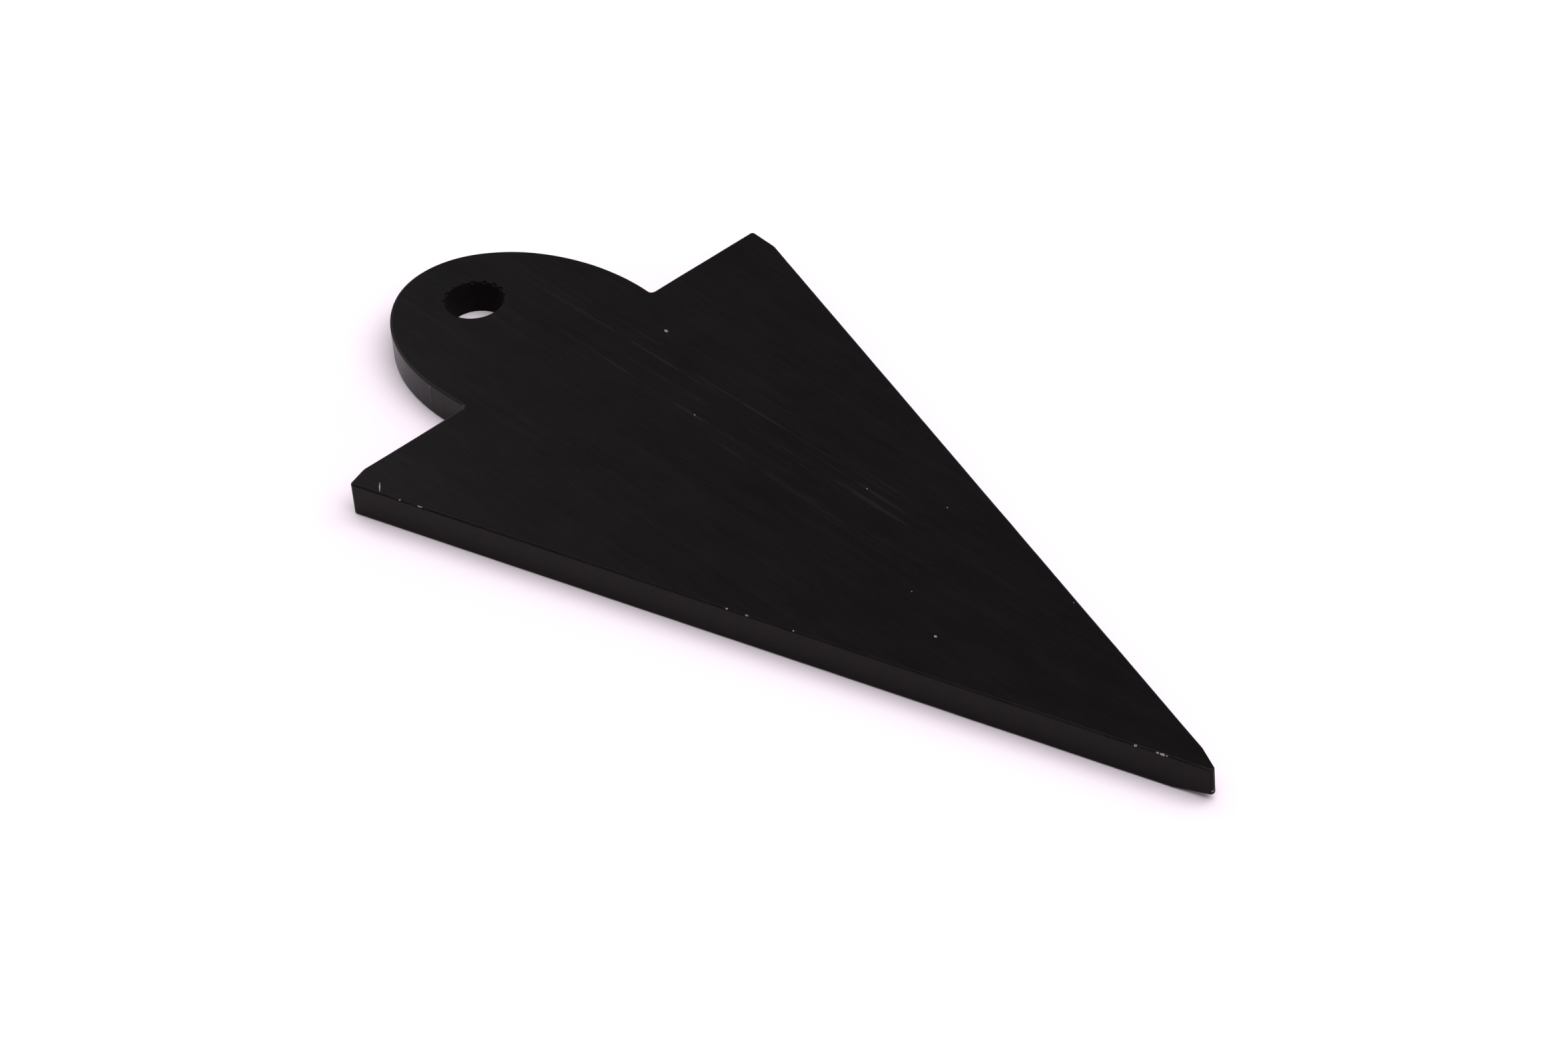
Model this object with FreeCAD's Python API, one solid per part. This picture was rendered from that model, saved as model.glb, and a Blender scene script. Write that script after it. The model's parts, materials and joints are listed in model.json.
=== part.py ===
import FreeCAD, Part
import os

# A flat tooth-shaped plate: a long pointed blade with a rounded, drilled tab in the middle of its
# short edge. It is one piece of one material. Sizes are in millimetres.
#
# The origin is the centre of the hole, on the plate's lower face. +X runs from the hole to the
# point, +Y across the plate and +Z up through its thickness.

# Plate
thickness = 3.0
arris_radius = 0.1  # slight worn rounding along every outer edge of both faces

# Blade, a triangle with two equal long edges
blade_length = 75.0  # short edge to the place where the long edges would meet
base_width = 45.0
tip_radius = 0.5
base_corner_radius = 1.0

# Tab, standing out of the middle of the short edge
tab_length = 16.5  # short edge to the end of the tab
tab_width = 20.4
tab_straight = 2.3  # length of the tab's sides before they curve round its end
notch_radius = 0.4  # inner corner between the tab and the short edge

# Hole
hole_diameter = 5.0
hole_to_base = 10.1  # hole centre to the short edge

# Places that follow from the sizes
base_x = hole_to_base
tip_x = base_x + blade_length
tab_curve_x = base_x - tab_straight
tab_end_x = base_x - tab_length
half_base = base_width / 2
half_tab = tab_width / 2


def point(x, y):
    return FreeCAD.Vector(x, y, 0)


def plate_of(wire):
    """A solid as thick as the plate, standing on the lower face."""
    return Part.Face(wire).extrude(FreeCAD.Vector(0, 0, thickness))


def is_upright(edge):
    start, end = (vertex.Point for vertex in edge.Vertexes)
    return abs(abs(end.z - start.z) - thickness) < 1e-6


def upright_edges(solid, x, y):
    """The edges that run through the thickness at x and at y either side of the middle."""
    found = []
    for edge in solid.Edges:
        if len(edge.Vertexes) == 2 and is_upright(edge):
            corner = edge.Vertexes[0].Point
            if abs(corner.x - x) < 1e-6 and abs(abs(corner.y) - y) < 1e-6:
                found.append(edge)
    return found


def make_blade():
    corners = [point(base_x, -half_base), point(tip_x, 0), point(base_x, half_base)]
    blade = plate_of(Part.makePolygon(corners + corners[:1]))
    blade = blade.makeFillet(base_corner_radius, upright_edges(blade, base_x, half_base))
    return blade.makeFillet(tip_radius, upright_edges(blade, tip_x, 0))


def tab_end_curve():
    """Half an ellipse from one straight side of the tab round to the other."""
    half_circle = Part.Arc(point(0, -1), point(-1, 0), point(0, 1)).toShape()
    stretch = FreeCAD.Matrix()
    stretch.scale(tab_curve_x - tab_end_x, half_tab, 1)
    curve = half_circle.transformGeometry(stretch)
    curve.translate(point(tab_curve_x, 0))
    return curve


def make_tab():
    """The tab, with a root that reaches into the blade by the length of its straight sides."""
    root_x = base_x + tab_straight
    near, far = point(root_x, -half_tab), point(root_x, half_tab)
    edges = [
        Part.makeLine(near, point(tab_curve_x, -half_tab)),
        tab_end_curve(),
        Part.makeLine(point(tab_curve_x, half_tab), far),
        Part.makeLine(far, near),
    ]
    return plate_of(Part.Wire(edges))


def round_arrises(solid):
    """Rounds every outer edge that lies in the lower or the upper face."""
    found = []
    for edge in solid.Edges:
        height = edge.CenterOfMass.z
        flat = edge.BoundBox.ZLength < 1e-6
        if flat and (abs(height) < 1e-6 or abs(height - thickness) < 1e-6):
            found.append(edge)
    return solid.makeFillet(arris_radius, found)


def make_tooth_plate():
    plate = make_blade().fuse(make_tab()).removeSplitter()
    plate = plate.makeFillet(notch_radius, upright_edges(plate, base_x, half_tab))
    plate = round_arrises(plate)
    hole = Part.makeCylinder(hole_diameter / 2, 3 * thickness, point(0, 0) - FreeCAD.Vector(0, 0, thickness))
    return plate.cut(hole)


os.makedirs("parts", exist_ok=True)
tooth_plate = make_tooth_plate()
tooth_plate.exportStep("parts/tooth_plate.step")
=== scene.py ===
import json
import math
import random
from contextlib import contextmanager

import bmesh
import bpy
from bpy.props import FloatProperty, FloatVectorProperty, IntProperty, PointerProperty
from mathutils import Matrix, Vector


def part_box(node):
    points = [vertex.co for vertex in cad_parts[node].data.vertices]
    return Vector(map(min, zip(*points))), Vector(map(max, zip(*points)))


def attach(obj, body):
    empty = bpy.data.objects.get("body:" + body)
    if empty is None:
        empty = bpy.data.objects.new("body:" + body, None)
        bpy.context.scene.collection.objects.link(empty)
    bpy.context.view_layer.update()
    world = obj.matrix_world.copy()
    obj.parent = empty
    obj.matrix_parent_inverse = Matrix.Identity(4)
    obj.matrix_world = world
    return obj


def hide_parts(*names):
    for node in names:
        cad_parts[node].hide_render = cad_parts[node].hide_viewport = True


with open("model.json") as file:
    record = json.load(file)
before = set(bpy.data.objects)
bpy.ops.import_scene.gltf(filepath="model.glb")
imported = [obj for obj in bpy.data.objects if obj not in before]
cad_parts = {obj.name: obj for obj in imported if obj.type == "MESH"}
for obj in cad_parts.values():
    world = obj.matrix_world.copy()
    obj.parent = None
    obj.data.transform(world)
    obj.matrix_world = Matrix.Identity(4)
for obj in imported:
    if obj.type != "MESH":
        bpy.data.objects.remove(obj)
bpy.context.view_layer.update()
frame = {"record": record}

bl_info = {
    "name": "Drilled tooth-shaped plate",
    "version": (1, 0, 0),
    "blender": (4, 5, 0),
    "location": "View3D > Sidebar > Plate",
    "description": "Models a flat black drilled plate with worn, chipped edges, and its studio stage",
    "category": "Object",
}

MM = 0.001
CUT_LIMIT = 0.0001 * MM
NODE = "tooth_plate"
LOW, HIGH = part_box(NODE)
MIDDLE = (LOW + HIGH) / 2
THICKNESS = HIGH.z - LOW.z
HOLE = next(m for m in frame["record"]["mounts"] if m["name"] == "hanging_hole")

# Both sides of the plate, by the sign of y.
NEAR, FAR = -1, 1


# ---------------------------------------------------------------- sizes and colours


class PlateSizes(bpy.types.PropertyGroup):
    """The plate's own sizes."""

    hole_to_base: FloatProperty(
        name="Hole to base", description="Hole centre to the blade's short edge",
        default=10.1 * MM, unit="LENGTH", precision=4)
    blade_length: FloatProperty(
        name="Blade length", description="Short edge to where the long edges would meet",
        default=75 * MM, unit="LENGTH", precision=4)
    base_width: FloatProperty(
        name="Base width", description="Length of the short edge before its corners are rounded",
        default=45 * MM, unit="LENGTH", precision=4)
    worn_radius: FloatProperty(
        name="Worn radius", description="Small rounding at the point and the base corners",
        default=0.30 * MM, unit="LENGTH", precision=5)
    point_sweep: FloatProperty(
        name="Point sweep", description="Long rounding of the worn point",
        default=1.12 * MM, unit="LENGTH", precision=5)
    near_sweep: FloatProperty(
        name="Near sweep", description="Long rounding of the base corner on the -Y side",
        default=1.86 * MM, unit="LENGTH", precision=5)
    far_sweep: FloatProperty(
        name="Far sweep", description="Long rounding of the base corner on the +Y side",
        default=2.46 * MM, unit="LENGTH", precision=5)
    base_lean: FloatProperty(
        name="Base lean", description="How far the short edge leans in at its -Y end",
        default=0.27 * MM, unit="LENGTH", precision=5)
    point_lift: FloatProperty(
        name="Point lift", description="How far the lower face is worn away under the point",
        default=0.56 * MM, unit="LENGTH", precision=5)
    tab_width: FloatProperty(
        name="Tab width", description="Width of the drilled tab",
        default=20.4 * MM, unit="LENGTH", precision=4)
    tab_turn: FloatProperty(
        name="Tab turn", description="How far the tab is turned from the long axis",
        default=math.radians(5.57), unit="ROTATION")
    tab_shift: FloatProperty(
        name="Tab shift", description="How far the tab sits off the long axis",
        default=0.40 * MM, unit="LENGTH", precision=5)
    tab_wear: FloatProperty(
        name="Tab wear", description="How much is worn off the tab all round",
        default=0.13 * MM, unit="LENGTH", precision=5)
    tab_straight: FloatProperty(
        name="Tab straight", description="Length of the tab's sides before they curve round its end",
        default=2.3 * MM, unit="LENGTH", precision=4)
    notch_radius: FloatProperty(
        name="Notch radius", description="Rounding of the inner corners beside the tab",
        default=0.4 * MM, unit="LENGTH", precision=5)
    arris_width: FloatProperty(
        name="Edge width", description="How far the worn rounding reaches in from each outer edge",
        default=0.22 * MM, unit="LENGTH", precision=5)
    arris_fullness: FloatProperty(
        name="Edge fullness", description="0.5 is a round edge, and 1 is a sharp one",
        default=0.70, min=0.25, max=1.0)
    hole_radius: FloatProperty(
        name="Hole radius", description="Radius of the drilled hole",
        default=HOLE["dims"]["r_mm"] * MM, unit="LENGTH", precision=5)
    cell: FloatProperty(
        name="Mesh pitch", description="Distance between the cuts that divide the faces",
        default=1.5 * MM, unit="LENGTH", precision=4)


class WearSizes(bpy.types.PropertyGroup):
    """How worn the plate is."""

    waviness: FloatProperty(
        name="Edge waviness", description="How far the worn edges wander inwards",
        default=0.03 * MM, unit="LENGTH", precision=5)
    nicks: IntProperty(
        name="Small nicks", description="Number of small nicks scattered along the outer edges",
        default=46, min=0)
    rim_nicks: IntProperty(
        name="Rim nicks",
        description="Number of nicks that the drill broke out of the hole's upper rim",
        default=9, min=2)
    seed: IntProperty(name="Seed", description="Seed of the scattered nicks", default=11)


class FinishColours(bpy.types.PropertyGroup):
    """Colours and gloss of the plate."""

    black: FloatVectorProperty(
        name="Black", description="Colour of the sanded black face",
        subtype="COLOR", size=3, default=(0.0013, 0.0009, 0.0008))
    streak: FloatVectorProperty(
        name="Streak", description="Colour of the paler lengthwise streaks",
        subtype="COLOR", size=3, default=(0.0100, 0.0090, 0.0085))
    # Pale colour of the nicks' faces: partly the lighter broken material inside a chip, and partly a
    # painted glint on it.
    break_and_glint: FloatVectorProperty(
        name="Broken edge", description="Colour inside a fresh chip",
        subtype="COLOR", size=3, default=(0.36, 0.33, 0.32))
    sheen: FloatVectorProperty(
        name="Sheen", description="Tint of the reflections seen face on",
        subtype="COLOR", size=3, default=(1.0, 0.90, 0.91))
    roughness: FloatProperty(
        name="Roughness", description="Mean roughness of the sanded face",
        default=0.27, min=0.0, max=1.0)
    gloss: FloatProperty(
        name="Gloss", description="Strength of the reflections seen face on",
        default=0.118, min=0.0, max=1.0)


class StageSettings(bpy.types.PropertyGroup):
    """Floor, lights and camera."""

    floor_colour: FloatVectorProperty(
        name="Floor", description="Colour of the pale floor",
        subtype="COLOR", size=3, default=(0.92, 0.82, 0.90))
    horizon: FloatProperty(
        name="Low light", description="Brightness of the room just above the floor", default=1.1)
    ceiling: FloatProperty(
        name="High light", description="Brightness of the room higher up", default=0.27)
    overhead: FloatProperty(
        name="Overhead panel", description="Brightness of the soft panel overhead", default=2.42)
    side: FloatProperty(
        name="Side panel", description="Brightness of the soft panel behind the tab", default=2.0)
    azimuth: FloatProperty(
        name="Azimuth", description="Direction from which the camera looks",
        default=math.radians(50.60), unit="ROTATION")
    elevation: FloatProperty(
        name="Elevation", description="Height angle of the camera",
        default=math.radians(39.37), unit="ROTATION")
    roll: FloatProperty(
        name="Roll", description="Turn of the camera about its own axis",
        default=math.radians(-5.20), unit="ROTATION")
    distance: FloatProperty(
        name="Distance", description="Camera to the point it looks at",
        default=0.4146, unit="LENGTH")
    lens: FloatProperty(
        name="Lens", description="Focal length for a 36 mm wide sensor",
        default=122.35, unit="CAMERA")
    look_x: FloatProperty(
        name="Look at X", description="Point along the plate that the camera looks at",
        default=38.50 * MM, unit="LENGTH", precision=4)
    look_y: FloatProperty(
        name="Look at Y", description="Point across the plate that the camera looks at",
        default=-1.01 * MM, unit="LENGTH", precision=4)


# ---------------------------------------------------------------- modelling helpers


def deselect_all():
    if bpy.context.mode != "OBJECT":
        bpy.ops.object.mode_set(mode="OBJECT")
    bpy.ops.object.select_all(action="DESELECT")


def pick(piece):
    deselect_all()
    piece.select_set(True)
    bpy.context.view_layer.objects.active = piece


@contextmanager
def editing(piece, mode="EDGE"):
    """Edit mode on one piece, with nothing selected."""
    pick(piece)
    bpy.ops.object.mode_set(mode="EDIT")
    bpy.ops.mesh.select_mode(type=mode)
    bpy.ops.mesh.select_all(action="DESELECT")
    try:
        yield bmesh.from_edit_mesh(piece.data)
    finally:
        bpy.ops.object.mode_set(mode="OBJECT")


def select_where(piece, parts, test):
    """Selects the edges or faces that pass the test, and says how many."""
    found = [part for part in parts if test(part)]
    for part in found:
        part.select_set(True)
    bmesh.update_edit_mesh(piece.data)
    return len(found)


def finish_transform(piece):
    pick(piece)
    bpy.ops.object.transform_apply(location=True, rotation=True, scale=True)


def join(pieces, name):
    deselect_all()
    for piece in pieces:
        piece.select_set(True)
    bpy.context.view_layer.objects.active = pieces[0]
    bpy.ops.object.join()
    pieces[0].name = name
    return pieces[0]


def apply_modifier(piece, kind, **settings):
    pick(piece)
    modifier = piece.modifiers.new(kind.lower(), kind)
    for key, value in settings.items():
        setattr(modifier, key, value)
    bpy.ops.object.modifier_apply(modifier=modifier.name)


# A piece with fewer faces than this was lost in a boolean.
FEWEST_FACES = 100


def combine(piece, tool, operation, **settings):
    """A boolean with another solid, which is used up."""
    apply_modifier(piece, "BOOLEAN", operation=operation, solver="EXACT", object=tool, **settings)
    if len(piece.data.polygons) < FEWEST_FACES:
        raise RuntimeError(f"nothing is left of {piece.name} after its boolean with {tool.name}")
    bpy.data.objects.remove(tool)


def add_round(radius, x, y, sides, height):
    """A round post of some height, halfway through the plate's thickness."""
    deselect_all()
    bpy.ops.mesh.primitive_cylinder_add(
        vertices=sides, radius=radius, depth=height, location=(x, y, MIDDLE.z))
    piece = bpy.context.object
    finish_transform(piece)
    return piece


# Faces that meet at less than this angle become one.
FLAT_ANGLE = math.radians(0.05)


def shrink_wrap(pieces, name):
    """The smallest solid without hollows round several posts, with flat faces left whole."""
    piece = join(pieces, name)
    with editing(piece, "VERT"):
        bpy.ops.mesh.select_all(action="SELECT")
        bpy.ops.mesh.convex_hull()
        bpy.ops.mesh.select_all(action="SELECT")
        bpy.ops.mesh.dissolve_limited(angle_limit=FLAT_ANGLE)
    return piece


# ---------------------------------------------------------------- the plate


# Heights of the blade and the tab before both are sliced flat. They differ, so that no two faces
# lie in one plane when the two are joined.
BLADE_STOCK = 3 * THICKNESS
TAB_STOCK = 4 * THICKNESS

# Sides of the large and small posts that the blade's corners are wrapped round, and of the tab's.
LARGE_POST_SIDES, SMALL_POST_SIDES, TAB_SIDES = 96, 32, 360

# How far each small post stands from its corner: at the point, and at the base corner on either side.
POINT_POST, NEAR_POST, FAR_POST = 1.53 * MM, 1.25 * MM, 1.02 * MM

# How much narrower the tab is at its root than across its curve, on each side.
ROOT_INSET = 0.09 * MM


def long_edge_reach(sizes):
    """Length of a long edge's line from base corner to point."""
    return math.hypot(sizes.blade_length, sizes.base_width / 2)


def beside_long_edge(sizes, side, along, inset):
    """A place at some distance along a long edge from its base corner, and some way inside it."""
    half, length, reach = sizes.base_width / 2, sizes.blade_length, long_edge_reach(sizes)
    x = sizes.hole_to_base + along * length / reach - inset * half / reach
    y = half - along * half / reach - inset * length / reach
    return x, side * y


def in_base_corner(sizes, side, radius, lean=0.0):
    """The centre of a circle that touches both edges of a base corner, where the base leans in."""
    half = sizes.base_width / 2
    y = half - radius * (half + long_edge_reach(sizes)) / sizes.blade_length
    return sizes.hole_to_base + radius + lean, side * (y - lean * half / sizes.blade_length)


def make_blade(sizes):
    """A pointed blade: posts that stand where its outline turns, wrapped in flat faces.

    Each worn corner has a large post that touches both of its edges, and a small one further out
    on the edge that wore back less.
    """
    reach, half = long_edge_reach(sizes), sizes.base_width / 2
    base, small = sizes.hole_to_base, sizes.worn_radius
    point_x = base + sizes.blade_length - sizes.point_sweep * reach / half
    posts = [
        (sizes.point_sweep, LARGE_POST_SIDES, point_x, 0),
        (small, SMALL_POST_SIDES, *beside_long_edge(sizes, NEAR, reach - POINT_POST, small)),
        (sizes.near_sweep, LARGE_POST_SIDES,
         *in_base_corner(sizes, NEAR, sizes.near_sweep, sizes.base_lean)),
        (small, SMALL_POST_SIDES, *beside_long_edge(sizes, NEAR, NEAR_POST, small)),
        (sizes.far_sweep, LARGE_POST_SIDES, *in_base_corner(sizes, FAR, sizes.far_sweep)),
        (small, SMALL_POST_SIDES, base + small, FAR * (half - FAR_POST)),
    ]
    rounds = [add_round(radius, x, y, sides, BLADE_STOCK) for radius, sides, x, y in posts]
    return shrink_wrap(rounds, "blade")


def make_tab(sizes):
    """The tab: a post drawn out to a slightly turned ellipse, wrapped together with its root."""
    curve_x = sizes.hole_to_base - sizes.tab_straight
    half = sizes.tab_width / 2 - sizes.tab_wear
    end = add_round(1.0, 0, 0, TAB_SIDES, TAB_STOCK)
    end.matrix_world = Matrix.Diagonal((curve_x - LOW.x - sizes.tab_wear, half, 1, 1))
    finish_transform(end)
    end.matrix_world = Matrix.Rotation(sizes.tab_turn, 4, "Z")
    finish_transform(end)
    end.matrix_world = Matrix.Translation((curve_x, sizes.tab_shift, 0))
    finish_transform(end)
    deselect_all()
    bpy.ops.mesh.primitive_cube_add(
        size=1, location=(sizes.hole_to_base, sizes.tab_shift, MIDDLE.z))
    root = bpy.context.object
    with editing(root):
        bpy.ops.mesh.select_all(action="SELECT")
        bpy.ops.transform.resize(
            value=(2 * sizes.tab_straight, 2 * (half - ROOT_INSET), TAB_STOCK))
    finish_transform(root)
    return shrink_wrap([end, root], "tab")


def merge_doubles(piece):
    with editing(piece, "VERT"):
        bpy.ops.mesh.select_all(action="SELECT")
        bpy.ops.mesh.remove_doubles(threshold=0.001 * MM)


def drop_stray_triangles(piece):
    """Makes every face a triangle, and drops any that shares no edge with exactly one other face."""

    def is_stray(face):
        return all(len(edge.link_faces) != 2 for edge in face.edges)

    with editing(piece, "FACE"):
        bpy.ops.mesh.select_all(action="SELECT")
        bpy.ops.mesh.quads_convert_to_tris()
    with editing(piece, "FACE") as shape:
        if select_where(piece, shape.faces, is_stray):
            bpy.ops.mesh.delete(type="ONLY_FACE")
            bpy.ops.mesh.select_all(action="SELECT")
            bpy.ops.mesh.delete_loose()


def slice_flat(piece, height, upwards):
    """Cuts away all that lies past a height, and closes the cut with one flat face."""
    with editing(piece):
        bpy.ops.mesh.select_all(action="SELECT")
        bpy.ops.mesh.bisect(
            plane_co=(0, 0, height), plane_no=(0, 0, 1), use_fill=True, threshold=CUT_LIMIT,
            clear_outer=upwards, clear_inner=not upwards)


# How far back from the point its lower face is worn away.
WORN_LENGTH = 3.2 * MM


def wear_under_point(piece, sizes):
    """Takes a shallow wedge off the lower face beneath the point."""
    normal = Vector((sizes.point_lift, 0, -WORN_LENGTH)).normalized()
    with editing(piece):
        bpy.ops.mesh.select_all(action="SELECT")
        bpy.ops.mesh.bisect(
            plane_co=(HIGH.x - WORN_LENGTH, 0, LOW.z), plane_no=normal, use_fill=True,
            threshold=CUT_LIMIT, clear_outer=True)


# Facets across a rounded edge.
ROUND_STEPS = 6


def is_wall(face):
    return abs(face.normal.z) < 0.5


# How far an inner corner beside the tab may lie from its place on an even plate.
NOTCH_REACH = 0.8 * MM


def round_notches(piece, sizes):
    """Rounds the two inner corners, where the tab's sides meet the blade's short edge."""
    half = sizes.tab_width / 2

    def in_notch(edge):
        middle = (edge.verts[0].co + edge.verts[1].co) / 2
        near_x = abs(middle.x - sizes.hole_to_base) < NOTCH_REACH
        near_y = abs(abs(middle.y) - half) < NOTCH_REACH
        walls = [face for face in edge.link_faces if is_wall(face)]
        return near_x and near_y and len(walls) == 2 and walls[0].normal.dot(walls[1].normal) < 0.5

    with editing(piece) as shape:
        if select_where(piece, shape.edges, in_notch) != 2:
            raise RuntimeError("the two inner corners beside the tab weren't found")
        bpy.ops.mesh.bevel(
            offset=sizes.notch_radius, segments=ROUND_STEPS, profile=0.5, affect="EDGES")


def round_arrises(piece, sizes):
    """Rounds the edges between the two faces and the wall."""

    def is_arris(edge):
        return len(edge.link_faces) == 2 and is_wall(edge.link_faces[0]) != is_wall(edge.link_faces[1])

    with editing(piece) as shape:
        select_where(piece, shape.edges, is_arris)
        bpy.ops.mesh.bevel(
            offset=sizes.arris_width, segments=ROUND_STEPS, profile=sizes.arris_fullness,
            affect="EDGES", clamp_overlap=False, loop_slide=True)


def cut_into_cells(piece, sizes):
    """Straight cuts across and along the plate, so that long faces become a grid."""
    for axis in (0, 1):
        low, high = LOW[axis], HIGH[axis]
        count = math.ceil((high - low) / sizes.cell)
        step = (high - low) / count
        direction = [float(axis == 0), float(axis == 1), 0.0]
        with editing(piece):
            for number in range(1, count):
                place = [0.0, 0.0, 0.0]
                place[axis] = low + number * step
                bpy.ops.mesh.select_all(action="SELECT")
                bpy.ops.mesh.bisect(plane_co=place, plane_no=direction, threshold=CUT_LIMIT)


# The hole's rim, this far out from its wall, keeps its edge.
RIM_WIDTH = 1 * MM

# Size of the waves that the worn edges wander in.
WAVE_SIZE = 4 * MM


def in_arris(point, sizes):
    """True where a point lies on the rounding of an outer edge, off both faces and the hole."""
    from_face = min(point.z - LOW.z, HIGH.z - point.z)
    from_hole = math.hypot(point.x, point.y) - sizes.hole_radius
    return 0.001 * MM < from_face < sizes.arris_width * 1.02 and from_hole > RIM_WIDTH


def wander_arrises(piece, sizes, wear):
    """Wears the rounded edges back unevenly, and keeps them between the planes of the two faces."""
    group = piece.vertex_groups.new(name="arris")
    group.add([v.index for v in piece.data.vertices if in_arris(v.co, sizes)], 1.0, "REPLACE")
    clouds = bpy.data.textures.new("edge_wear", "CLOUDS")
    clouds.noise_scale = WAVE_SIZE
    apply_modifier(
        piece, "DISPLACE", texture=clouds, texture_coords="LOCAL", direction="NORMAL",
        strength=wear.waviness, mid_level=1.0, vertex_group="arris")
    for vertex in piece.data.vertices:
        vertex.co.z = min(max(vertex.co.z, LOW.z), HIGH.z)


# ---------------------------------------------------------------- nicks and the hole


# How far each point of a nick's lens is out of true, as a share of its radius.
LUMPINESS = 0.06


def nick_tool(place, along, length, width, depth, dice):
    """A lumpy lens whose skin is the floor of one nick. Its sizes are half of its extents."""
    deselect_all()
    bpy.ops.mesh.primitive_ico_sphere_add(subdivisions=3, radius=1.0)
    tool = bpy.context.object
    for vertex in tool.data.vertices:
        vertex.co += Vector([dice.uniform(-LUMPINESS, LUMPINESS) for _ in range(3)])
    turn = Vector(along).to_track_quat("X", "Z").to_matrix().to_4x4()
    tool.matrix_world = Matrix.Translation(place) @ turn @ Matrix.Diagonal((length, width, depth, 1))
    finish_transform(tool)
    return tool


def outline_spots(sizes):
    """Stretches of the outer edge that nicks can fall on: start, end and the way out of the plate."""
    half, base, reach = sizes.base_width / 2, sizes.hole_to_base, long_edge_reach(sizes)
    tip = Vector((base + sizes.blade_length, 0, 0))
    out_x, out_y = half / reach, sizes.blade_length / reach
    spots = []
    for side in (NEAR, FAR):
        corner = Vector((base, side * half, 0))
        spots.append((tip, corner, Vector((out_x, side * out_y, 0))))
        notch = Vector((base, side * sizes.tab_width / 2, 0))
        spots.append((notch, corner, Vector((-1, 0, 0))))
    return spots


def edge_point(spot, distance, top):
    """A point on an outer edge and the direction along it, from the spot's start."""
    start, end, _ = spot
    along = (end - start).normalized()
    point = start + along * distance
    point.z = HIGH.z if top else LOW.z
    return point, along


# Pale nicks on the upper edge of the -Y side: the distance from where the long edges meet, and half
# of the length, width and depth, in millimetres.
PALE_NICKS = (
    (4.98, 0.09, 0.07, 0.07),
    (5.36, 0.21, 0.12, 0.12),
    (5.75, 0.12, 0.08, 0.08),
    (7.56, 0.12, 0.14, 0.12),
    (36.7, 0.07, 0.06, 0.06),
    (40.8, 0.14, 0.07, 0.07),
    (42.6, 0.11, 0.07, 0.07),
    (70.7, 0.24, 0.05, 0.06),
    (72.6, 0.08, 0.06, 0.06),
)

# Pale nicks on the lower edge of the same side: the distance and the radius in millimetres.
LOWER_NICKS = ((38.7, 0.07), (43.9, 0.06))

# Pale pits in the upper face: place and radius in millimetres.
PITS = (
    (14.9, 7.9, 0.14),
    (58.3, -3.6, 0.11),
    (41.7, 5.0, 0.06),
    (24.8, 2.1, 0.06),
    (63.2, 6.2, 0.05),
    (53.2, -1.2, 0.05),
    (48.0, 7.6, 0.05),
)

# Pale nicks on their own: x, y and how far below the upper face, the direction along the nick, and
# half of its length, width and depth, in millimetres. They are a scratch near a base corner, a nick
# in the tab's wall and one in the point.
LONE_NICKS = (
    ((13.1, -20.8, 0.0), (1.04, -0.85, 0), (0.62, 0.06, 0.07)),
    ((5.85, -9.67, 0.3), (1, 0.1, 0), (0.12, 0.1, 0.1)),
    ((83.81, -0.27, 2.08), (0.4, 0.9, 0), (0.10, 0.08, 0.08)),
)

# How far in from the edge's sharp line the pale nicks lie: those near the point, and the others.
POINT_REGION = 10
POINT_INSET, EDGE_INSET = 0.02, 0.12


def make_pale_nicks(sizes, dice):
    """Nicks that the finish paints pale, partly as lighter broken material and partly as a painted
    glint: along the -Y side, on the tab, and pits in the upper face.
    """
    tools = []
    near = outline_spots(sizes)[0]
    for distance, length, width, depth in PALE_NICKS:
        point, along = edge_point(near, distance * MM, top=True)
        inset = POINT_INSET if distance < POINT_REGION else EDGE_INSET
        tools.append(nick_tool(
            point - near[2] * inset * MM, along, length * MM, width * MM, depth * MM, dice))
    for distance, radius in LOWER_NICKS:
        point, along = edge_point(near, distance * MM, top=False)
        tools.append(nick_tool(point, along, 1.6 * radius * MM, radius * MM, radius * MM, dice))
    for x, y, radius in PITS:
        size = radius * MM
        place = Vector((x * MM, y * MM, HIGH.z))
        tools.append(nick_tool(place, (1, -0.2, 0), 1.4 * size, size, 0.7 * size, dice))
    for (x, y, drop), along, (length, width, depth) in LONE_NICKS:
        place = Vector((x * MM, y * MM, HIGH.z - drop * MM))
        tools.append(nick_tool(place, along, length * MM, width * MM, depth * MM, dice))
    return join(tools, "pale_nicks")


# Scattered nicks stay this far from the pale ones and from the ends of an edge.
PALE_CLEARANCE = 1.5 * MM
END_CLEARANCE = 3 * MM


def near_pale_nick(distance):
    return any(abs(distance - marked[0] * MM) < PALE_CLEARANCE for marked in PALE_NICKS)


def make_edge_nicks(sizes, wear, dice):
    """Small worn nicks, spread evenly but unequally over every outer edge."""
    tools = []
    spots = outline_spots(sizes)
    total = sum((spot[1] - spot[0]).length for spot in spots) * 2
    for spot in spots:
        reach = (spot[1] - spot[0]).length
        count = round(wear.nicks * reach / total)
        for top in (False, True):
            for number in range(count):
                distance = (number + dice.uniform(0.2, 0.8)) / count * reach
                size = dice.uniform(0.05, 0.12) * MM
                length = size * dice.uniform(1.0, 2.6)
                if spot is spots[0] and near_pale_nick(distance):
                    continue
                distance = min(max(distance, END_CLEARANCE), reach - END_CLEARANCE)
                point, along = edge_point(spot, distance, top)
                point += spot[2] * dice.uniform(-0.02, 0.02) * MM
                tools.append(nick_tool(point, along, length, size, size, dice))
    return join(tools, "edge_nicks")


# Where the crumbs on the hole's rim begin, and how far round it they reach, in degrees.
RIM_START, RIM_SPAN = 60, 165


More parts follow.
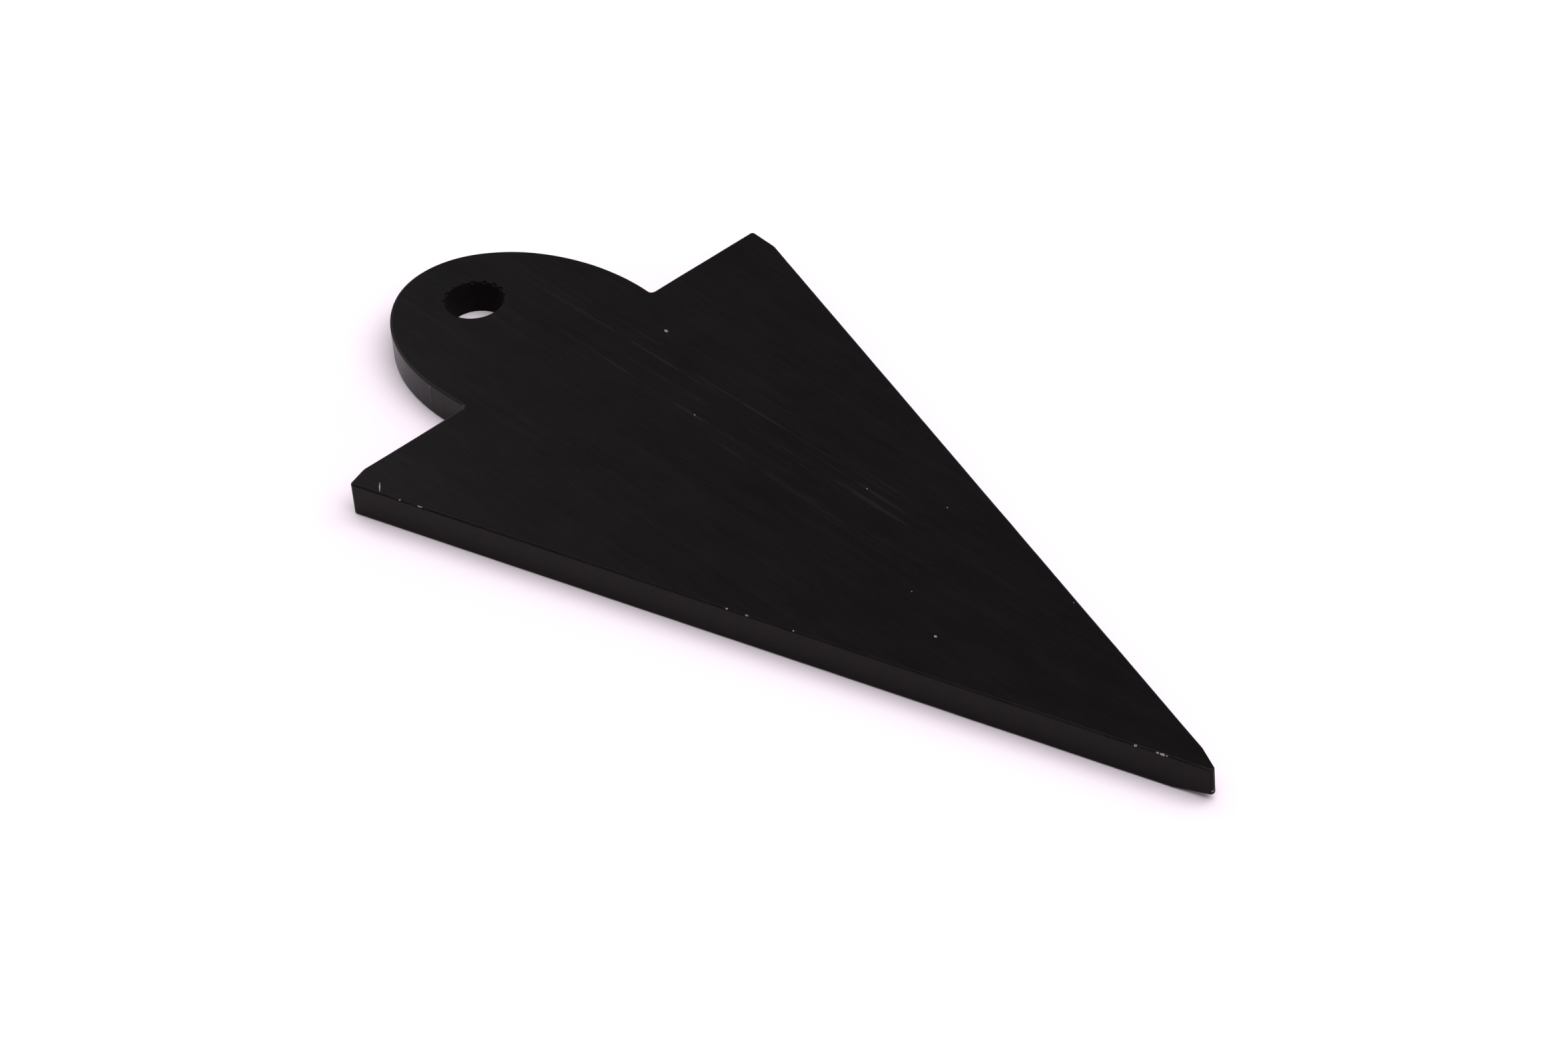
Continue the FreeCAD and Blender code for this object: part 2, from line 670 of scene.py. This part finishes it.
def make_rim_nicks(sizes, wear, dice):
    """Crumbs that broke out of the hole's upper rim where the drill caught it, away from the point."""
    tools = []
    for number in range(wear.rim_nicks):
        share = (number + dice.uniform(-0.08, 0.08)) / (wear.rim_nicks - 1)
        turn = math.radians(RIM_START + RIM_SPAN * share)
        outwards = Vector((math.cos(turn), math.sin(turn), 0))
        along = Vector((-outwards.y, outwards.x, 0))
        point = outwards * sizes.hole_radius * dice.uniform(0.98, 1.0)
        point.z = HIGH.z
        size = dice.uniform(0.16, 0.27) * MM
        tools.append(nick_tool(point, along, size * dice.uniform(1.0, 1.2), size, size, dice))
    return join(tools, "rim_nicks")


# Rings on the hole's wall, and how many times the plate's thickness the drill bit is long.
RINGS = 20
BIT_LENGTH = 3

# Sides of the hole, and how much narrower its rings and single points are, as shares of its radius.
HOLE_SIDES = 160
RING_DEPTH, RAGGED_DEPTH = 0.008, 0.004


def drill_hole(piece, sizes, dice):
    """A drilled hole whose wall carries faint rings left by the drill."""
    bit = add_round(
        sizes.hole_radius, HOLE["pos_m"][0], HOLE["pos_m"][1], HOLE_SIDES, BIT_LENGTH * THICKNESS)
    with editing(bit):
        for number in range(1, BIT_LENGTH * RINGS):
            bpy.ops.mesh.select_all(action="SELECT")
            height = LOW.z + THICKNESS * ((number + 0.5) / RINGS - 1)
            bpy.ops.mesh.bisect(plane_co=(0, 0, height), plane_no=(0, 0, 1), threshold=CUT_LIMIT)
    rings = {}
    for vertex in bit.data.vertices:
        key = round(vertex.co.z / (0.01 * MM))
        rings.setdefault(key, 1 - dice.uniform(0.0, RING_DEPTH))
        ragged = 1 - RAGGED_DEPTH * dice.random()
        vertex.co.x *= rings[key] * ragged
        vertex.co.y *= rings[key] * ragged
    combine(piece, bit, "DIFFERENCE")


def mark_break_and_glint_faces(piece, break_and_glint_slot):
    """Writes which faces are the floors of the pale nicks, which the finish paints pale: partly broken
    material, partly a painted glint.
    """
    mesh = piece.data
    break_and_glint = mesh.attributes.new("break_and_glint", "FLOAT", "FACE")
    flags = [float(polygon.material_index == break_and_glint_slot) for polygon in mesh.polygons]
    break_and_glint.data.foreach_set("value", flags)


class PLATE_OT_make(bpy.types.Operator):
    """Model the drilled plate: blade, tab, hole, worn edges and nicks"""

    bl_idname = "plate.make"
    bl_label = "Make plate"

    def execute(self, context):
        sizes, wear = context.scene.plate_sizes, context.scene.plate_wear
        dice = random.Random(wear.seed)
        black, break_and_glint = (bpy.data.materials.new(name) for name in ("black_face", "break_and_glint_face"))
        plate = make_blade(sizes)
        combine(plate, make_tab(sizes), "UNION")
        slice_flat(plate, HIGH.z, upwards=True)
        slice_flat(plate, LOW.z, upwards=False)
        wear_under_point(plate, sizes)
        plate.name = "drilled_plate"
        plate.data.name = "drilled_plate"
        round_notches(plate, sizes)
        round_arrises(plate, sizes)
        drill_hole(plate, sizes, dice)
        cut_into_cells(plate, sizes)
        plate.data.materials.append(black)
        edge_nicks = make_edge_nicks(sizes, wear, dice)
        worn = join((edge_nicks, make_rim_nicks(sizes, wear, dice)), "worn_nicks")
        worn.data.materials.append(black)
        pale_nick_tools = make_pale_nicks(sizes, dice)
        pale_nick_tools.data.materials.append(break_and_glint)
        combine(plate, join((worn, pale_nick_tools), "nicks"), "DIFFERENCE", material_mode="TRANSFER")
        merge_doubles(plate)
        wander_arrises(plate, sizes, wear)
        mark_break_and_glint_faces(plate, plate.data.materials.find("break_and_glint_face"))
        plate.data.materials.clear()
        plate.data.materials.append(black_finish(context.scene.plate_finish))
        merge_doubles(plate)
        drop_stray_triangles(plate)
        with editing(plate, "FACE"):
            bpy.ops.mesh.select_all(action="SELECT")
            bpy.ops.mesh.normals_make_consistent(inside=False)
        pick(plate)
        bpy.ops.object.shade_smooth_by_angle(angle=math.radians(32))
        apply_modifier(plate, "WEIGHTED_NORMAL", keep_sharp=True, weight=60)
        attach(plate, "root")
        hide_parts(NODE)
        return {"FINISHED"}


# ---------------------------------------------------------------- finish


class Socket:
    """A shader value. Python's operators on it add Math nodes."""

    def __init__(self, sheet, link):
        self.sheet, self.link = sheet, link

    def _math(self, operation, *others):
        node = self.sheet.node("ShaderNodeMath", {"operation": operation}, [self, *others])
        return node["Value"]

    def __add__(self, other):
        return self._math("ADD", other)

    __radd__ = __add__

    def __mul__(self, other):
        return self._math("MULTIPLY", other)

    __rmul__ = __mul__

    def __sub__(self, other):
        return self._math("SUBTRACT", other)

    def __rsub__(self, other):
        return self.sheet.node("ShaderNodeMath", {"operation": "SUBTRACT"}, [other, self])["Value"]

    def __truediv__(self, other):
        return self._math("DIVIDE", other)

    def __abs__(self):
        return self._math("ABSOLUTE")

    def larger(self, other):
        return self._math("MAXIMUM", other)

    def smaller(self, other):
        return self._math("MINIMUM", other)

    def rise(self, low, high):
        """0 below low, 1 above high and smooth between them. low may be the higher of the two."""
        node = self.sheet.node(
            "ShaderNodeMapRange", {"interpolation_type": "SMOOTHSTEP"},
            {"Value": self, "From Min": low, "From Max": high})
        return node["Result"]


class Outputs:
    """A node's outputs by name."""

    def __init__(self, sheet, node):
        self.sheet, self.raw = sheet, node

    def __getitem__(self, name):
        return Socket(self.sheet, self.raw.outputs[name])


class Sheet:
    """One material's or world's node tree."""

    def __init__(self, owner):
        owner.use_nodes = True
        self.tree = owner.node_tree
        self.tree.nodes.clear()

    def node(self, kind, settings=None, inputs=()):
        """Adds a node, sets it up, and gives its sockets their values or links."""
        made = self.tree.nodes.new(kind)
        for key, value in (settings or {}).items():
            setattr(made, key, value)
        pairs = inputs.items() if isinstance(inputs, dict) else enumerate(inputs)
        for key, value in pairs:
            if isinstance(value, Socket):
                self.tree.links.new(value.link, made.inputs[key])
            else:
                made.inputs[key].default_value = value
        return Outputs(self, made)

    def mix(self, amount, first, second):
        """A colour between two others."""
        made = self.node("ShaderNodeMix", {"data_type": "RGBA"}, {"Factor": amount})
        for index, value in ((6, first), (7, second)):
            if isinstance(value, Socket):
                self.tree.links.new(value.link, made.raw.inputs[index])
            else:
                made.raw.inputs[index].default_value = (*value, 1)
        return Socket(self, made.raw.outputs[2])

    def noise(self, place, stretch, scale, detail=3.0, turn=0.0, rough=0.55):
        """Noise on the piece's own coordinates in millimetres, drawn out along its stretched axes."""
        mapped = self.node(
            "ShaderNodeMapping", {"vector_type": "POINT"},
            {"Vector": place, "Rotation": (0, 0, turn), "Scale": stretch})
        made = self.node(
            "ShaderNodeTexNoise", {},
            {"Vector": mapped["Vector"], "Scale": scale, "Detail": detail, "Roughness": rough})
        return made["Fac"]


def black_finish(colours):
    """Deep black, sanded lengthwise, with faint streaks, fine scratches and a few pale flecks."""
    material = bpy.data.materials.new("black_plate")
    sheet = Sheet(material)
    metres = sheet.node("ShaderNodeTexCoord")["Object"]
    scaled = sheet.node(
        "ShaderNodeVectorMath", {"operation": "SCALE"}, {0: metres, "Scale": 1 / MM})
    place = scaled["Vector"]
    parts = sheet.node("ShaderNodeSeparateXYZ", {}, [place])
    x, y = parts["X"], parts["Y"]

    fibres = sheet.noise(place, (0.05, 1.0, 1.0), 1.6, detail=5, turn=-0.045)
    grain = sheet.noise(place, (0.16, 2.2, 2.2), 3.4, detail=3, turn=-0.02)
    mottle = sheet.noise(place, (0.5, 1.0, 1.0), 0.30, detail=4)
    lines = sheet.noise(place, (0.018, 1.0, 1.0), 2.1, detail=2, turn=-0.055, rough=0.4)
    breaks = sheet.noise(place, (0.25, 1.0, 1.0), 0.9, detail=2)
    middle = (y - x * 0.055 - 2.2) / 5.0
    field = (1 - abs(middle)).rise(0.0, 0.7) * (1 - abs((x - 27) / 30)).rise(0.0, 0.5)
    streaks = lines.rise(0.58, 0.68) * breaks.rise(0.35, 0.6) * (field * 0.9 + 0.1)

    fleck_cells = sheet.node(
        "ShaderNodeTexVoronoi", {"feature": "F1"},
        {"Vector": place, "Scale": 0.17, "Randomness": 1.0})
    fleck_size = sheet.node("ShaderNodeSeparateColor", {}, [fleck_cells["Color"]])["Red"]
    flecks = fleck_cells["Distance"].rise(0.022, 0.010) * fleck_size.rise(0.60, 0.75)

    # Faces of the pale nicks: painted pale, partly as the lighter broken material and partly as a
    # painted glint.
    break_and_glint = sheet.node("ShaderNodeAttribute", {"attribute_name": "break_and_glint"})["Fac"]
    crumb = sheet.noise(place, (1.0, 1.0, 1.0), 9.0, detail=4)
    # Pale marks: dust flecks, and the nicks' faces, whose pale colour is partly a painted glint.
    pale = (break_and_glint * (0.35 + 0.65 * crumb.rise(0.35, 0.6))).larger(flecks * 0.8)

    tone = (fibres.rise(0.35, 0.75) * 0.12 + grain.rise(0.4, 0.8) * 0.06 + streaks * 0.8).smaller(1.0)
    colour = sheet.mix(pale, sheet.mix(tone, colours.black, colours.streak), colours.break_and_glint)

    scratches = 0.0
    for turn, scale in ((-0.30, 1.7), (0.22, 2.3), (1.15, 1.3)):
        thread = sheet.noise(place, (0.03, 3.0, 3.0), scale, detail=1, turn=turn)
        scratches = scratches + thread.rise(0.70, 0.76) * 0.33
    rough = colours.roughness + (mottle - 0.5) * 0.12 + (grain - 0.5) * 0.06 + scratches * 0.08
    flat = sheet.node("ShaderNodeCombineXYZ", {}, [x, y, 0.0])["Vector"]
    from_axis = sheet.node("ShaderNodeVectorMath", {"operation": "LENGTH"}, [flat])["Value"]
    bore = from_axis.rise(2.62, 2.54)
    rough = rough + pale * 0.25 - streaks * 0.06 + bore * 0.5

    height = grain * 0.5 + fibres * 0.35 + crumb * break_and_glint * 2.0 - scratches * 0.5
    bump = sheet.node(
        "ShaderNodeBump", {}, {"Strength": 0.14, "Distance": 0.00003, "Height": height})
    shader = sheet.node(
        "ShaderNodeBsdfPrincipled", {},
        {"Base Color": colour, "Roughness": rough, "Normal": bump["Normal"],
         "IOR": 1.45, "Specular IOR Level": colours.gloss, "Specular Tint": (*colours.sheen, 1)})
    sheet.node("ShaderNodeOutputMaterial", {}, {"Surface": shader["BSDF"]})
    return material


# ---------------------------------------------------------------- stage


# A gap below the plate, so that its lower face and the floor aren't in one plane.
FLOOR_GAP = 0.02 * MM


def make_floor(stage):
    deselect_all()
    bpy.ops.mesh.primitive_plane_add(size=4.0, location=(0, 0, LOW.z - FLOOR_GAP))
    floor = bpy.context.object
    floor.name = "floor"
    finish_transform(floor)
    material = bpy.data.materials.new("pale_floor")
    sheet = Sheet(material)
    shader = sheet.node(
        "ShaderNodeBsdfPrincipled", {},
        {"Base Color": (*stage.floor_colour, 1), "Roughness": 0.9, "Specular IOR Level": 0.1})
    sheet.node("ShaderNodeOutputMaterial", {}, {"Surface": shader["BSDF"]})
    floor.data.materials.append(material)


def make_room_light(stage):
    """Even light from all round, brighter low down than high up."""
    world = bpy.data.worlds.new("room")
    bpy.context.scene.world = world
    sheet = Sheet(world)
    direction = sheet.node("ShaderNodeTexCoord")["Generated"]
    height = sheet.node("ShaderNodeSeparateXYZ", {}, [direction])["Z"]
    strength = height.rise(0.45, 0.05) * (stage.horizon - stage.ceiling) + stage.ceiling
    background = sheet.node("ShaderNodeBackground", {}, {"Color": (1, 1, 1, 1), "Strength": strength})
    sheet.node("ShaderNodeOutputWorld", {}, {"Surface": background["Background"]})


def add_panel(name, turn, height, distance, width, depth, brightness):
    """A soft panel that faces the plate, placed by its direction, height angle and distance."""
    data = bpy.data.lights.new(name, "AREA")
    data.shape = "RECTANGLE"
    data.size = width
    data.size_y = depth
    data.energy = brightness * math.pi * width * depth
    panel = bpy.data.objects.new(name, data)
    bpy.context.scene.collection.objects.link(panel)
    turn, height = math.radians(turn), math.radians(height)
    away = Vector((
        math.cos(turn) * math.cos(height), math.sin(turn) * math.cos(height), math.sin(height)))
    panel.location = MIDDLE + away * distance
    panel.rotation_euler = away.to_track_quat("Z", "Y").to_euler()


def make_panels(stage):
    add_panel(
        "overhead_panel", turn=42, height=71, distance=0.8, width=1.1, depth=1.1,
        brightness=stage.overhead)
    add_panel(
        "side_panel", turn=174, height=40, distance=0.8, width=0.5, depth=0.3,
        brightness=stage.side)


def make_camera(stage):
    target = Vector((stage.look_x, stage.look_y, MIDDLE.z))
    back = Vector((
        math.sin(stage.azimuth) * math.cos(stage.elevation),
        -math.cos(stage.azimuth) * math.cos(stage.elevation),
        math.sin(stage.elevation)))
    level = Vector((math.cos(stage.azimuth), math.sin(stage.azimuth), 0))
    turn = Matrix.Rotation(stage.roll, 3, back)
    right = turn @ level
    up = back.cross(right)
    data = bpy.data.cameras.new("camera")
    data.sensor_width = 36
    data.lens = stage.lens
    data.clip_start = 0.01
    camera = bpy.data.objects.new("camera", data)
    bpy.context.scene.collection.objects.link(camera)
    spin = Matrix((right, up, back)).transposed().to_4x4()
    camera.matrix_world = Matrix.Translation(target + back * stage.distance) @ spin
    bpy.context.scene.camera = camera


class PLATE_OT_stage(bpy.types.Operator):
    """Set the stage: a pale floor, soft light and the camera"""

    bl_idname = "plate.stage"
    bl_label = "Set stage"

    def execute(self, context):
        stage = context.scene.plate_stage
        context.scene.view_settings.view_transform = "Standard"
        make_floor(stage)
        make_room_light(stage)
        make_panels(stage)
        make_camera(stage)
        return {"FINISHED"}


# ---------------------------------------------------------------- panel and registration


class PLATE_PT_panel(bpy.types.Panel):
    """The plate's tools in the 3D view's sidebar"""

    bl_label = "Drilled plate"
    bl_space_type = "VIEW_3D"
    bl_region_type = "UI"
    bl_category = "Plate"

    def draw(self, context):
        for group in ("plate_sizes", "plate_wear", "plate_finish", "plate_stage"):
            settings = getattr(context.scene, group)
            for name in settings.__annotations__:
                self.layout.prop(settings, name)
        self.layout.operator(PLATE_OT_make.bl_idname)
        self.layout.operator(PLATE_OT_stage.bl_idname)


CLASSES = (
    PlateSizes, WearSizes, FinishColours, StageSettings,
    PLATE_OT_make, PLATE_OT_stage, PLATE_PT_panel,
)
GROUPS = {
    "plate_sizes": PlateSizes, "plate_wear": WearSizes,
    "plate_finish": FinishColours, "plate_stage": StageSettings,
}


def register():
    for cls in CLASSES:
        bpy.utils.register_class(cls)
    for name, group in GROUPS.items():
        setattr(bpy.types.Scene, name, PointerProperty(type=group))


def unregister():
    for name in GROUPS:
        delattr(bpy.types.Scene, name)
    for cls in reversed(CLASSES):
        bpy.utils.unregister_class(cls)


def main():
    register()
    bpy.ops.plate.stage()
    bpy.ops.plate.make()


if __name__ == "__main__":
    main()
